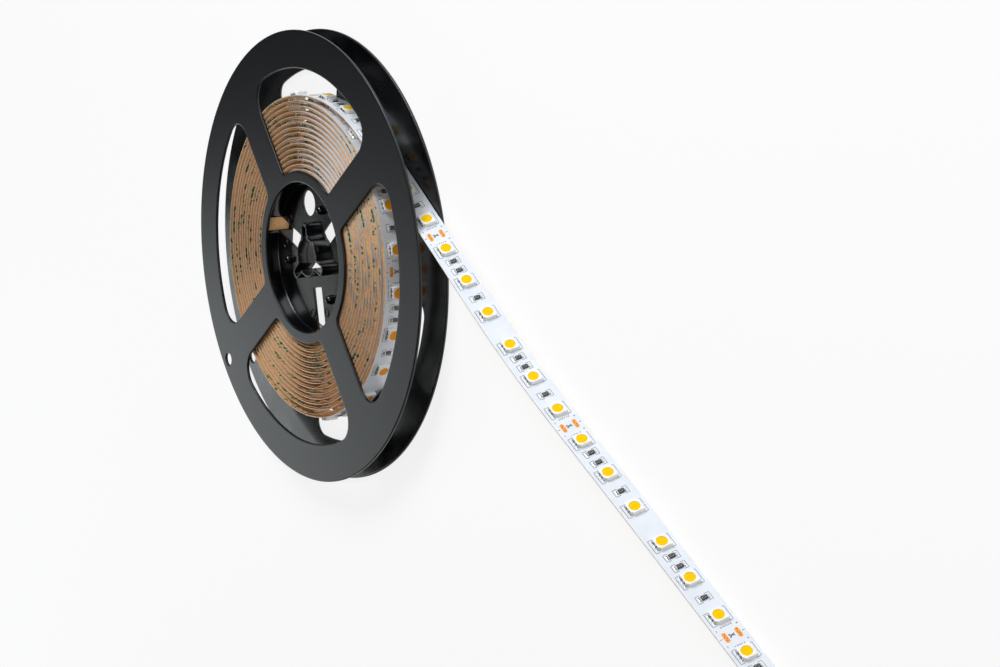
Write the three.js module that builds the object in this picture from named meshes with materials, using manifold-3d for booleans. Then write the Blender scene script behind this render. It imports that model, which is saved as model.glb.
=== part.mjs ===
// A reel of LED strip light: a black two-piece plastic reel, 5 m of flexible LED tape wound on it
// with the chips outwards, and the tape's free end run out along +X. The reel lies on one flange,
// so its axis is +Z. Lengths are millimetres and angles are degrees.
import * as THREE from 'three';
import { mergeVertices } from 'three/addons/utils/BufferGeometryUtils.js';
import Module from 'manifold-3d';

const wasm = await Module();
wasm.setup();

// Flexible board, its peel-off backing and the parts soldered on it
const tapeWidth = 10;
const tapeLength = 5000;
const backingThickness = 0.2;
const backingInset = 0.05;
const boardThickness = 0.3;
const bondGap = 0.05;
const cutLength = 100;
const chipsPerCut = 6;
const outerTurnCuts = 4;
const chipPitch = 16.8;
const chipSize = 5;
const chipHeight = 1.4;
const chipCorner = 0.8;
const lensRadius = 1.9;
const lensDepth = 0.12;
const resistorLength = 3.2;
const resistorWidth = 1.6;
const resistorHeight = 0.55;
const terminalLength = 0.5;
const terminalRise = 0.06;
const resistorPairSpacing = 4.8;
const solderGap = 0.05;
const windingSlack = 0.1;

// Reel flanges
const flangeRadius = 90;
const flangeThickness = 1.1;
const tapeSideClearance = 0.2;
const rimWidth = 15;
const spokeCount = 4;
const spokeWidth = 16;
const spokeAngle = 68.2;
const windowRimFillet = 8.5;
const windowHubFillet = 3;
const rearWindowsPerSide = 3;
const rearWindowSpan = 40;
const rearSpokeSpan = 11.2;
const rearSpokeAngle = 41.8;
const rearRimFillet = 5.5;
const hubRingWidth = 4.5;
const anchorHoleRadius = 2.5;
const anchorHoleInset = 5.5;

// Drum, web and arbor
const drumBoreRadius = 30;
const drumWall = 1.4;
const drumToTape = 0.3;
const webThickness = 1;
const webAngle = 130.5;
const threadSlotWidth = 6.5;
const threadSlotStart = 12.5;
const driveHoleRadius = 5.1;
const driveHoleDistance = 21.3;
const arborBoreRadius = 7;
const arborWall = 1;
const arborRecess = 2.3;
const keywayCount = 3;
const keywayWidth = 2.8;
const keywayReach = 12.7;
const studRadius = 1.8;
const studTipRadius = 1.1;
const studHeight = 2.4;
const studDistance = 20.5;

// Free end of the tape
const peelStartAngle = 125.8;
const leanAngle = 5.2;
const leanDistance = 68.5;
const leanRun = 87;
const straightenRadius = 660;
const straightRun = 204;
const dropStart = 140;
const dropRun = 150;

// Facets
const stepsPerTurn = 28;
const rimSteps = 72;
const drumSteps = 40;
const cornerSteps = 4;
const peelSteps = 9;
const straightenSteps = 4;
const straightSteps = 6;

const reelWidth = tapeWidth + 2 * tapeSideClearance + 2 * flangeThickness;
const tapeBottom = flangeThickness + tapeSideClearance;
const drumRadius = drumBoreRadius + drumWall;
const webTop = (reelWidth + webThickness) / 2;
const webBottom = webTop - webThickness;
const boardInner = backingThickness + bondGap;
const boardOuter = boardInner + boardThickness;
const chipBase = boardOuter + solderGap;
const turnPitch = chipBase + chipHeight + windingSlack;
const chipMargin = (cutLength - (chipsPerCut - 1) * chipPitch) / 2;

const rad = THREE.MathUtils.degToRad;
const blackPlastic = new THREE.MeshStandardMaterial({ color: 0x18191b, roughness: 0.45 });
const whiteBoard = new THREE.MeshStandardMaterial({ color: 0xeef1f4, roughness: 0.4 });
const kraftPaper = new THREE.MeshStandardMaterial({ color: 0xb98c5c, roughness: 0.75 });
const chipPlastic = new THREE.MeshStandardMaterial({ color: 0xf4e9a8, roughness: 0.35 });
const resistorGlaze = new THREE.MeshStandardMaterial({ color: 0x2a2c2e, roughness: 0.35 });

// Closed-mesh helpers: to a solid for joining and cutting, and back to a geometry
function toSolid(geometry) {
  const bare = geometry.index ? geometry.toNonIndexed() : geometry.clone();
  bare.deleteAttribute('normal');
  bare.deleteAttribute('uv');
  const merged = mergeVertices(bare, 1e-4);
  const mesh = new wasm.Mesh({
    numProp: 3,
    vertProperties: new Float32Array(merged.attributes.position.array),
    triVerts: new Uint32Array(merged.index.array),
  });
  return new wasm.Manifold(mesh);
}

function toGeometry(solid) {
  const mesh = solid.getMesh();
  const geometry = new THREE.BufferGeometry();
  geometry.setAttribute('position', new THREE.BufferAttribute(mesh.vertProperties, 3));
  geometry.setIndex(new THREE.BufferAttribute(mesh.triVerts, 1));
  geometry.computeVertexNormals();
  return geometry;
}

function extrude(shape, bottom, top, curveSegments = cornerSteps) {
  const geometry = new THREE.ExtrudeGeometry(shape, {
    depth: top - bottom,
    bevelEnabled: false,
    curveSegments,
  });
  geometry.translate(0, 0, bottom);
  return geometry;
}

// A regular polygon outline that stands for a circle
function circlePoints(radius, steps, x = 0, y = 0) {
  return Array.from({ length: steps }, (_, i) => {
    const angle = (2 * Math.PI * i) / steps;
    return new THREE.Vector2(x + radius * Math.cos(angle), y + radius * Math.sin(angle));
  });
}

function arcPoints(cx, cy, radius, from, to, steps) {
  return Array.from({ length: steps + 1 }, (_, i) => {
    const angle = from + ((to - from) * i) / steps;
    return new THREE.Vector2(cx + radius * Math.cos(angle), cy + radius * Math.sin(angle));
  });
}

function turned(points, angle) {
  return points.map((point) => point.clone().rotateAround(new THREE.Vector2(), angle));
}

// One window, drawn with its middle on +X: an outer and an inner arc, two straight sides and four
// fillets. A side lies sideOffset from the line that leaves the axis at halfAngle.
function windowOutline(halfAngle, sideOffset, rimFillet) {
  const outer = flangeRadius - rimWidth;
  const inner = drumBoreRadius + hubRingWidth;
  const rimCentreDistance = outer - rimFillet;
  const rimBearing = Math.asin((sideOffset + rimFillet) / rimCentreDistance) - halfAngle;
  const hubCentreDistance = inner + windowHubFillet;
  const hubBearing = Math.asin((sideOffset + windowHubFillet) / hubCentreDistance) - halfAngle;
  const sideNormal = -halfAngle - Math.PI / 2;
  const arcSteps = (bearing, fullSteps) => Math.ceil((fullSteps * Math.abs(bearing)) / (2 * Math.PI));
  const half = [];
  half.push(...arcPoints(0, 0, inner, 0, hubBearing, arcSteps(hubBearing, drumSteps)));
  half.push(...arcPoints(
    hubCentreDistance * Math.cos(hubBearing), hubCentreDistance * Math.sin(hubBearing),
    windowHubFillet, hubBearing + Math.PI, sideNormal + 2 * Math.PI, cornerSteps,
  ).slice(1));
  half.push(...arcPoints(
    rimCentreDistance * Math.cos(rimBearing), rimCentreDistance * Math.sin(rimBearing),
    rimFillet, sideNormal, rimBearing, cornerSteps + 1,
  ));
  half.push(...arcPoints(0, 0, outer, rimBearing, 0, arcSteps(rimBearing, rimSteps)).slice(1));
  const mirrored = half.slice(1, -1).reverse().map((point) => new THREE.Vector2(point.x, -point.y));
  return [...half, ...mirrored];
}

function frontWindows() {
  const outline = windowOutline(Math.PI / spokeCount, spokeWidth / 2, windowRimFillet);
  return Array.from({ length: spokeCount }, (_, i) => (
    turned(outline, rad(spokeAngle + (360 / spokeCount) * (i + 0.5)))
  ));
}

// The rear flange has a group of windows on each side of its two wide spokes
function rearWindows() {
  const outline = windowOutline(rad(rearWindowSpan / 2), 0, rearRimFillet);
  const windows = [];
  for (const side of [90, 270]) {
    for (let i = 0; i < rearWindowsPerSide; i += 1) {
      const place = (i - (rearWindowsPerSide - 1) / 2) * (rearWindowSpan + rearSpokeSpan);
      windows.push(turned(outline, rad(rearSpokeAngle + side + place)));
    }
  }
  return windows;
}

function flange(windows, bottom) {
  const shape = new THREE.Shape(circlePoints(flangeRadius, rimSteps));
  for (const window of windows) shape.holes.push(new THREE.Path(window));
  shape.holes.push(new THREE.Path(circlePoints(drumBoreRadius, drumSteps)));
  const anchor = turned([new THREE.Vector2(flangeRadius - anchorHoleInset, 0)], rad(spokeAngle + 180))[0];
  shape.holes.push(new THREE.Path(circlePoints(anchorHoleRadius, 12, anchor.x, anchor.y)));
  return toSolid(extrude(shape, bottom, bottom + flangeThickness));
}

function drumCollar(bottom, top) {
  const ring = new THREE.Shape(circlePoints(drumRadius, drumSteps));
  ring.holes.push(new THREE.Path(circlePoints(drumBoreRadius, drumSteps)));
  return toSolid(extrude(ring, bottom, top));
}

// Slots that run out through the web and the drum wall, for threading the tape's inner end
function threadSlots(bottom, top) {
  const reach = drumRadius + drumWall;
  const outline = [
    new THREE.Vector2(threadSlotStart, -threadSlotWidth / 2),
    new THREE.Vector2(reach, -threadSlotWidth / 2),
    new THREE.Vector2(reach, threadSlotWidth / 2),
    new THREE.Vector2(threadSlotStart, threadSlotWidth / 2),
  ];
  return Array.from({ length: keywayCount }, (_, i) => {
    const angle = rad(webAngle + 180 + (360 / keywayCount) * i);
    return toSolid(extrude(new THREE.Shape(turned(outline, angle)), bottom, top));
  });
}

// A round bore with keyways: arcs between the keyways, and each keyway a straight-sided round-ended arm
function keyedOutline(radius, halfWidth, reach) {
  const points = [];
  const flank = Math.asin(halfWidth / radius);
  const spacing = (2 * Math.PI) / keywayCount;
  for (let i = 0; i < keywayCount; i += 1) {
    const angle = rad(webAngle) + spacing * i;
    const tip = arcPoints(reach - halfWidth, 0, halfWidth, -Math.PI / 2, Math.PI / 2, cornerSteps);
    points.push(...turned(tip, angle));
    points.push(...arcPoints(0, 0, radius, angle + flank, angle + spacing - flank, 2 * cornerSteps));
  }
  return new THREE.Shape(points);
}

function frontHalf() {
  const flangeBottom = reelWidth - flangeThickness;
  let solid = flange(frontWindows(), flangeBottom).add(drumCollar(webTop, flangeBottom));
  for (const slot of threadSlots(webTop - webThickness, flangeBottom)) solid = solid.subtract(slot);
  return toGeometry(solid);
}

function rearHalf() {
  const web = toSolid(extrude(new THREE.Shape(circlePoints(drumRadius, drumSteps)), webBottom, webTop));
  const arborOutline = keyedOutline(
    arborBoreRadius + arborWall, keywayWidth / 2 + arborWall, keywayReach + arborWall,
  );
  const arbor = toSolid(extrude(arborOutline, arborRecess, reelWidth - arborRecess));
  const bore = toSolid(extrude(keyedOutline(arborBoreRadius, keywayWidth / 2, keywayReach), 0, reelWidth));
  let solid = flange(rearWindows(), 0).add(drumCollar(flangeThickness, webTop)).add(web).add(arbor);
  for (let i = 0; i < keywayCount; i += 1) {
    const angle = rad(webAngle - 30 + (360 / keywayCount) * i);
    const stud = new THREE.CylinderGeometry(studTipRadius, studRadius, studHeight + webThickness / 2, 10);
    stud.rotateX(Math.PI / 2);
    stud.translate(studDistance * Math.cos(angle), studDistance * Math.sin(angle), webTop + studHeight / 2);
    solid = solid.add(toSolid(stud));
  }
  solid = solid.subtract(bore);
  for (const slot of threadSlots(flangeThickness, webTop + webThickness)) solid = solid.subtract(slot);
  const hole = turned([new THREE.Vector2(driveHoleDistance, 0)], rad(webAngle))[0];
  const holeShape = new THREE.Shape(circlePoints(driveHoleRadius, 20, hole.x, hole.y));
  return toGeometry(solid.subtract(toSolid(extrude(holeShape, 0, reelWidth))));
}

// Path of the backing's inner face, from the inner end of the roll to the free end. A station is a
// point, the outward normal there and the drop below the level at which the tape is wound.
function tapePath() {
  const rollInner = drumRadius + drumToTape;
  const peelTurn = rad(peelStartAngle - 90 + leanAngle);
  const lean = rad(leanAngle);
  const peelLengthGuess = leanDistance * peelTurn;
  const tailGuess = peelLengthGuess + leanRun + straightenRadius * lean + straightRun;
  const wound = tapeLength - tailGuess;
  const turns = (Math.sqrt(rollInner ** 2 + (turnPitch * wound) / Math.PI) - rollInner) / turnPitch;
  const steps = Math.round(turns * stepsPerTurn);
  const rollOuter = rollInner + (turnPitch * steps) / stepsPerTurn;
  const stations = [];
  for (let i = 0; i <= steps; i += 1) {
    const angle = rad(peelStartAngle + ((steps - i) * 360) / stepsPerTurn);
    const radius = rollInner + (turnPitch * i) / stepsPerTurn;
    const normal = new THREE.Vector2(Math.cos(angle), Math.sin(angle));
    stations.push({ point: normal.clone().multiplyScalar(radius), normal });
  }

  const peelRadius = (leanDistance - rollOuter * Math.cos(peelTurn)) / (1 - Math.cos(peelTurn));
  const centre = stations[steps].normal.clone().multiplyScalar(rollOuter - peelRadius);
  for (let i = 1; i <= peelSteps; i += 1) {
    const angle = rad(peelStartAngle) - (peelTurn * i) / peelSteps;
    const normal = new THREE.Vector2(Math.cos(angle), Math.sin(angle));
    stations.push({ point: centre.clone().addScaledVector(normal, peelRadius), normal });
  }

  const walk = (length, turn, count) => {
    for (let i = 0; i < count; i += 1) {
      const last = stations[stations.length - 1];
      const middle = last.normal.clone().rotateAround(new THREE.Vector2(), turn / count / 2);
      const along = new THREE.Vector2(middle.y, -middle.x);
      const normal = last.normal.clone().rotateAround(new THREE.Vector2(), turn / count);
      stations.push({ point: last.point.clone().addScaledVector(along, length / count), normal });
    }
  };
  walk(leanRun, 0, straightenSteps);
  walk(straightenRadius * lean, lean, straightenSteps);
  walk(straightRun, 0, straightSteps);

  let travelled = 0;
  for (let i = stations.length - 1; i >= 0; i -= 1) {
    const station = stations[i];
    const next = stations[i + 1];
    if (next) travelled += next.point.distanceTo(station.point);
    station.fromEnd = travelled;
  }
  const peelLength = stations[steps].fromEnd;
  for (const station of stations) {
    const run = THREE.MathUtils.smoothstep(peelLength - station.fromEnd, dropStart, dropStart + dropRun);
    station.drop = tapeBottom * run;
  }
  return { stations, rollSteps: steps };
}

const { stations: tapeStations, rollSteps } = tapePath();

// A station anywhere on the tape, by its distance from the free end
function stationAt(fromEnd) {
  const index = tapeStations.findIndex((station) => station.fromEnd <= fromEnd);
  const after = tapeStations[index];
  const before = tapeStations[index - 1];
  const share = (before.fromEnd - fromEnd) / (before.fromEnd - after.fromEnd);
  return {
    point: before.point.clone().lerp(after.point, share),
    normal: before.normal.clone().lerp(after.normal, share).normalize(),
    drop: THREE.MathUtils.lerp(before.drop, after.drop, share),
    along: after.point.clone().sub(before.point).normalize(),
    fromEnd,
  };
}

// A closed strip that follows stations, between two offsets from the backing's inner face
function ribbon(stations, innerOffset, outerOffset, edgeInset = 0) {
  const positions = [];
  for (const { point, normal, drop } of stations) {
    const inner = point.clone().addScaledVector(normal, innerOffset);
    const outer = point.clone().addScaledVector(normal, outerOffset);
    const low = tapeBottom - drop + edgeInset;
    const high = tapeBottom - drop + tapeWidth - edgeInset;
    positions.push(inner.x, inner.y, low, outer.x, outer.y, low);
    positions.push(outer.x, outer.y, high, inner.x, inner.y, high);
  }
  const faces = [0, 3, 2, 0, 2, 1];
  for (let i = 0; i < stations.length - 1; i += 1) {
    for (let side = 0; side < 4; side += 1) {
      const a = 4 * i + side;
      const b = 4 * i + ((side + 1) % 4);
      faces.push(a, b, b + 4, a, b + 4, a + 4);
    }
  }
  const end = 4 * (stations.length - 1);
  faces.push(end, end + 1, end + 2, end, end + 2, end + 3);
  const geometry = new THREE.BufferGeometry();
  geometry.setAttribute('position', new THREE.Float32BufferAttribute(positions, 3));
  geometry.setIndex(faces);
  geometry.computeVertexNormals();
  return geometry;
}

// Chip body with its one bevelled corner and the shallow round well of the phosphor
function chipGeometry() {
  const half = chipSize / 2;
  const body = () => new THREE.Shape([
    new THREE.Vector2(-half, -half),
    new THREE.Vector2(half, -half),
    new THREE.Vector2(half, half),
    new THREE.Vector2(-half + chipCorner, half),
    new THREE.Vector2(-half, half - chipCorner),
  ]);
  const well = new THREE.Shape(circlePoints(lensRadius, 8));
  const block = toSolid(extrude(body(), 0, chipHeight));
  return toGeometry(block.subtract(toSolid(extrude(well, chipHeight - lensDepth, chipHeight + lensDepth))));
}

// Resistor: a flat block whose end caps stand a little proud, long side across the tape
function resistorGeometry() {
  const half = resistorLength / 2;
  const low = resistorHeight - terminalRise;
  const profile = new THREE.Shape([
    new THREE.Vector2(-half, 0),
    new THREE.Vector2(half, 0),
    new THREE.Vector2(half, resistorHeight),
    new THREE.Vector2(half - terminalLength, resistorHeight),
    new THREE.Vector2(half - terminalLength, low),
    new THREE.Vector2(-half + terminalLength, low),
    new THREE.Vector2(-half + terminalLength, resistorHeight),
    new THREE.Vector2(-half, resistorHeight),
  ]);
  const geometry = extrude(profile, -resistorWidth / 2, resistorWidth / 2);
  geometry.rotateX(Math.PI / 2);
  return geometry;
}

// The board with a plain block for each chip on the turn that shows. A block bends where its facet
// does. The chips further in are hidden between the turns and are left off.
function boardWithWoundChips(firstCut) {
  const inset = (tapeWidth - chipSize) / 2;
  let board = toSolid(ribbon(tapeStations, boardInner, boardOuter));
  for (let cut = firstCut; cut < firstCut + outerTurnCuts; cut += 1) {
    for (const fromEnd of cutLayout(cut).chips) {
      const start = fromEnd + chipSize / 2;
      const end = fromEnd - chipSize / 2;
      const bends = tapeStations.filter((station) => station.fromEnd < start && station.fromEnd > end);
      const outline = [stationAt(start), ...bends, stationAt(end)];
      const foot = boardInner + boardThickness / 2;
      board = board.add(toSolid(ribbon(outline, foot, chipBase + chipHeight, inset)));
    }
  }
  return toGeometry(board);
}

// Distances from the free end of the chips and the resistors in one cut length. Seen from the
// cut nearer the roll, the gaps between chips hold two resistors, one, none, two and one.
function cutLayout(cutIndex) {
  const rollSide = cutLength * (cutIndex + 1);
  const chips = Array.from({ length: chipsPerCut }, (_, i) => rollSide - chipMargin - chipPitch * i);
  const pair = (gap) => [
    chips[gap] - chipPitch / 2 + resistorPairSpacing / 2,
    chips[gap] - chipPitch / 2 - resistorPairSpacing / 2,
  ];
  const single = (gap) => [chips[gap] - chipPitch / 2];
  return { chips, resistors: [...pair(0), ...single(1), ...pair(3), ...single(4)] };
}

const group = new THREE.Group();

function addPiece(name, geometry, material) {
  const mesh = new THREE.Mesh(geometry, material);
  mesh.name = name;
  group.add(mesh);
  return mesh;
}

// Solders a part on the board's outer face: its own +Z points away from the board
function solder(name, geometry, material, fromEnd) {
  const { point, normal, drop, along } = stationAt(fromEnd);
  const mesh = addPiece(name, geometry, material);
  const facing = new THREE.Vector2(-along.y, along.x);
  mesh.position.set(
    point.x + normal.x * chipBase, point.y + normal.y * chipBase,
    tapeBottom - drop + tapeWidth / 2,
  );
  mesh.setRotationFromMatrix(new THREE.Matrix4().makeBasis(
    new THREE.Vector3(0, 0, 1),
    new THREE.Vector3(along.x, along.y, 0),
    new THREE.Vector3(facing.x, facing.y, 0),
  ));
}

addPiece('front_reel_half', frontHalf(), blackPlastic);
addPiece('rear_reel_half', rearHalf(), blackPlastic);
addPiece('peel_off_backing', ribbon(tapeStations, 0, backingThickness, backingInset), kraftPaper);

const chip = chipGeometry();
const resistor = resistorGeometry();
const freeLength = tapeStations[rollSteps].fromEnd;
const freeCuts = Math.floor(freeLength / cutLength);
addPiece('flexible_board', boardWithWoundChips(freeCuts), whiteBoard);
let chipNumber = 0;
let resistorNumber = 0;
for (let cut = 0; cut < freeCuts; cut += 1) {
  const { chips, resistors } = cutLayout(cut);
  for (const fromEnd of [...chips].reverse()) {
    chipNumber += 1;
    solder(`led_chip_${String(chipNumber).padStart(2, '0')}`, chip, chipPlastic, fromEnd);
  }
  for (const fromEnd of [...resistors].reverse()) {
    resistorNumber += 1;
    solder(`resistor_${String(resistorNumber).padStart(2, '0')}`, resistor, resistorGlaze, fromEnd);
  }
}

// The origin is under the middle of the whole length, from the rim to the tape's free end
const freeEnd = tapeStations[tapeStations.length - 1].point;
group.position.x = (flangeRadius - freeEnd.x) / 2;
group.updateMatrixWorld(true);

export default group;
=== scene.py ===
"""A reel of LED strip light, lying on its rear flange with the tape's free end run out.

Shapes are worked out in millimetres about the reel's axis, with Z up from the floor, and are
put into meshes in metres in the frame's own place. The tape's parts are first drawn flat, in
tape coordinates: the distance from the free end, the distance across from the tape's middle
and the height above the board, which one function carries onto the wound tape.
"""
import bpy
import numpy as np
from mathutils import Matrix, Vector
from mathutils.geometry import tessellate_polygon


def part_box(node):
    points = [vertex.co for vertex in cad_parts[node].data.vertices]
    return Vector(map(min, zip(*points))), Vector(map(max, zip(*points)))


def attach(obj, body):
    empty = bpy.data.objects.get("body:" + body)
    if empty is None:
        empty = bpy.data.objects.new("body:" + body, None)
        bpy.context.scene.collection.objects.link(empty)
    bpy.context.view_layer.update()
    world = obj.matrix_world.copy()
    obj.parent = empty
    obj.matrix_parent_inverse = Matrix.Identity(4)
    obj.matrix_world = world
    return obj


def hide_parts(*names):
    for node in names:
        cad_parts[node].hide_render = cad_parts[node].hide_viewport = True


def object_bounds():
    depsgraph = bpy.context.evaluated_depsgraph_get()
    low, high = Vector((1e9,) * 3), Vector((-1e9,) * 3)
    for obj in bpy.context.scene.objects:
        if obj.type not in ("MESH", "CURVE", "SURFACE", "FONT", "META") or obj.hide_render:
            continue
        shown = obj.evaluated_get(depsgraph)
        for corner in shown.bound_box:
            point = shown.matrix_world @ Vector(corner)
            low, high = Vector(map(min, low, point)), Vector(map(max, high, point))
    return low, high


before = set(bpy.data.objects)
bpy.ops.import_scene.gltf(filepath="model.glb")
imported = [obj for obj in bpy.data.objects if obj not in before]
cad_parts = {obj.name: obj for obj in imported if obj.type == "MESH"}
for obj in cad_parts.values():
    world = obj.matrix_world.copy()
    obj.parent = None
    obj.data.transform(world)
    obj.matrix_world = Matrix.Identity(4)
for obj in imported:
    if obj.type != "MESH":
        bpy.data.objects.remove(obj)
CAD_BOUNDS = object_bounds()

MM = 0.001
REEL_LOW, REEL_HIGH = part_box("rear_reel_half")
REEL_X = (REEL_LOW[0] + REEL_HIGH[0]) / 2
FLANGE_RADIUS = (REEL_HIGH[1] - REEL_LOW[1]) / 2 / MM
REEL_WIDTH = (CAD_BOUNDS[1][2] - CAD_BOUNDS[0][2]) / MM

# Tape, as in the part
TAPE_WIDTH = 10.0
TAPE_LENGTH = 5000.0
BACKING = 0.2
BACKING_INSET = 0.05
BOND = 0.05
BOARD = 0.3
CHIP_GAP = 0.05
CHIP_HEIGHT = 1.4
SLACK = 0.1
CUT_LENGTH = 100.0
CHIPS_PER_CUT = 6
CHIP_PITCH = 16.8
CHIP_SIZE = 5.0
RESISTOR_PAIR = 4.8
RESISTOR_LONG = 3.2
RESISTOR_WIDE = 1.6
RESISTOR_HIGH = 0.55
FREE_CUTS = 4
BOARD_FACE = BACKING + BOND + BOARD
PITCH = BOARD_FACE + CHIP_GAP + CHIP_HEIGHT + SLACK
CHIP_MARGIN = (CUT_LENGTH - (CHIPS_PER_CUT - 1) * CHIP_PITCH) / 2

# Details on the board that the part doesn't have. Cuts up to SHOWN_CUTS can be seen between the
# flanges, and have fine chips and print.
SHOWN_CUTS = 9
CHIP_CORNER = 0.8
CHIP_BEVEL = 0.12
WELL_RIM = 2.02
WELL_RADIUS = 1.94
WELL_DEPTH = 0.1
LEAD_PITCH = 1.6
LEAD_WIDE = 0.95
LEAD_HIGH = 0.7
# Size of the dark blocks of painted shade between a chip's leads
LEAD_GAP_SHADE_WIDE = 0.62
LEAD_GAP_SHADE_HIGH = 0.95
SOLDER_REACH = 0.5
RESISTOR_CAP = 0.45
RESISTOR_CAP_RISE = 0.05
PAD_LONG = 4.0
PAD_WIDE = 1.5
PAD_DISTANCE = 2.35

# Reel, as in the part
FLANGE = 1.1
SIDE_GAP = 0.2
RIM = 15.0
SPOKES = 4
SPOKE_WIDTH = 16.0
SPOKE_ANGLE = 68.2
RIM_FILLET = 8.5
HUB_FILLET = 3.0
REAR_WINDOW_PAIRS = (90, 270)
REAR_WINDOW_SPAN = 40.0
REAR_SPOKE_SPAN = 11.2
REAR_SPOKE_ANGLE = 41.8
REAR_RIM_FILLET = 5.5
HUB_RING = 4.5
ANCHOR_RADIUS = 2.5
ANCHOR_INSET = 5.5
BORE_RADIUS = 30.0
DRUM_WALL = 1.4
DRUM_GAP = 0.3
WEB = 1.0
WEB_ANGLE = 130.5
SLOT_WIDTH = 6.5
SLOT_START = 12.5
HOLE_RADIUS = 5.1
HOLE_DISTANCE = 21.3
ARBOR_BORE = 7.0
ARBOR_WALL = 1.0
ARBOR_RECESS = 2.3
KEYWAYS = 3
KEY_SPACING = 2 * np.pi / KEYWAYS
KEYWAY_WIDTH = 2.8
KEYWAY_REACH = 12.7
STUD_RADIUS = 1.8
STUD_HEIGHT = 2.4
STUD_DISTANCE = 20.5
STUD_ASIDE = -30
DRUM_RADIUS = BORE_RADIUS + DRUM_WALL
TAPE_BOTTOM = FLANGE + SIDE_GAP
WEB_TOP = (REEL_WIDTH + WEB) / 2
WEB_BOTTOM = WEB_TOP - WEB

# Details of the mouldings that the part doesn't have
FLANGE_EDGE = 0.4
WEB_EDGE = 0.12
ARBOR_EDGE = 0.22
WALL_EDGE = 0.2
SLOT_CORNER = 0.5
CORNER_FILLET = 0.5
EJECTOR_DISTANCE = 23.5
EJECTOR_ASIDE = 14
SUPPORT = 0.35
WALL_STATIONS = 60

# Free end, as in the part
PEEL_ANGLE = 125.8
LEAN = 5.2
LEAN_DISTANCE = 68.5
LEAN_RUN = 87.0
STRAIGHTEN_RADIUS = 660.0
STRAIGHT_RUN = 203.88
DROP_START = 140.0
DROP_RUN = 150.0
CAD_STEPS = 28

# Stations of the visual tape
STATIONS_PER_TURN = 96
BEND_STATIONS = 40
STRAIGHT_STATIONS = 60
LINER_STEP = 1.6

# How a real winding departs from a true spiral. The outermost turn stands loose, over shares of a
# turn, and its edge wanders in two unlike waves.
ROLL_SHIFT = 0.8
ROLL_SHIFT_ANGLE = 219.0
LOOSE_TURN = 1.0
LOOSE_RISE = 0.5
LOOSE_FALL = 0.3
EDGE_WANDER = 0.1
WANDER_FADE = 30
WAVE_LONG = 41
WAVE_SHORT = 17.3
SPLICE = 7.2

# The liner's curl: its depth at the edge, where it starts across the tape, the side of the roll on
# which it is strongest and its share on the other side
CURL = 1.2
CURL_START = 2.7
CURL_ANGLE = 10.0
CURL_LEAST = 0.25
CURL_FROM_PEEL = 20
CURL_FROM_HUB = 210
CURL_FADE = 60
CREASES = 260
CREASE_REACH = (1.2, 3.0)
CREASE_DEPTH = 0.75

# The free end leans back about this height on the tape, by an angle that it reaches soon after
# it has left the roll
TILT = 20.0
TILT_HEIGHT = 2.5
TILT_START = 20.0
TILT_RUN = 70.0


def radians(angle):
    """An angle in degrees, in radians."""
    return np.radians(angle)


# Meshes

def grid(rows, columns, wrap=False):
    """Quads of a grid of rows by columns of points. With wrap, the last column meets the first."""
    row = np.arange(rows - 1)[:, None] * columns
    column = np.arange(columns if wrap else columns - 1)[None, :]
    after = (column + 1) % columns
    corners = (row + column, row + after, row + columns + after, row + columns + column)
    return np.stack([c.ravel() for c in corners], axis=-1)


def loft(points, wrap=True, caps=True):
    """A skin over rings of points, shaped (rings, points in a ring, 3), closed at both ends."""
    rings, count = points.shape[:2]
    faces = grid(rings, count, wrap).tolist()
    if caps:
        faces.append(list(range(count))[::-1])
        faces.append(list(range((rings - 1) * count, rings * count)))
    return points.reshape(-1, 3), faces


def flipped(faces):
    """The same faces seen from their other side."""
    return [face[::-1] for face in faces]


def spread(along, across, above):
    """Points from three coordinates, each a number or an array, spread to one shape."""
    return np.stack(np.broadcast_arrays(along, across, above), axis=-1)


def swept(profile, angle, centre=(0.0, 0.0)):
    """A profile of (radius, height) pairs carried round an upright axis through centre, shaped
    (angles, points in the profile, 3)."""
    radius, height = np.asarray(profile, dtype=float).T
    cosine, sine = np.cos(angle)[:, None], np.sin(angle)[:, None]
    return spread(centre[0] + radius * cosine, centre[1] + radius * sine, height)


def piece(name, parts, nodes=(), body="root"):
    """One object from parts of (points in mm, faces, material, smooth), riding on a body. Points
    that parts share are made one, so that the seams between them are closed."""
    materials = []
    points, faces, slots, smooth = [], [], [], []
    count = 0
    for part_points, part_faces, material, is_smooth in parts:
        if material not in materials:
            materials.append(material)
        points.append(np.asarray(part_points, dtype=float))
        faces.extend([[corner + count for corner in face] for face in part_faces])
        slots.extend([materials.index(material)] * len(part_faces))
        smooth.extend([is_smooth] * len(part_faces))
        count += len(part_points)
    placed = np.concatenate(points) * MM
    placed[:, 0] += REEL_X
    if len(parts) > 1:
        placed, place_of = np.unique(np.round(placed, 8), axis=0, return_inverse=True)
        place_of = place_of.ravel().tolist()
        faces = [[place_of[corner] for corner in face] for face in faces]
    mesh = bpy.data.meshes.new(name)
    mesh.from_pydata(placed.tolist(), [], faces)
    for material in materials:
        mesh.materials.append(material)
    mesh.polygons.foreach_set("material_index", slots)
    mesh.polygons.foreach_set("use_smooth", smooth)
    obj = bpy.data.objects.new(name, mesh)
    bpy.context.scene.collection.objects.link(obj)
    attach(obj, body)
    if nodes:
        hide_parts(*nodes)
    return obj


def turn(points, angle):
    """Points turned about the reel's axis by an angle in radians."""
    cosine, sine = np.cos(angle), np.sin(angle)
    turned = np.array(points, dtype=float)
    turned[..., 0] = points[..., 0] * cosine - points[..., 1] * sine
    turned[..., 1] = points[..., 0] * sine + points[..., 1] * cosine
    return turned


def polar(distance, bearing):
    """The point at a distance from the reel's axis and a bearing in degrees."""
    return turn(np.array([distance, 0.0]), radians(bearing))


def arc(centre, radius, start, end, count):
    """Points on a circle's arc, both ends included."""
    angle = np.linspace(start, end, count)
    return np.stack([centre[0] + radius * np.cos(angle), centre[1] + radius * np.sin(angle)], axis=-1)


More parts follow.
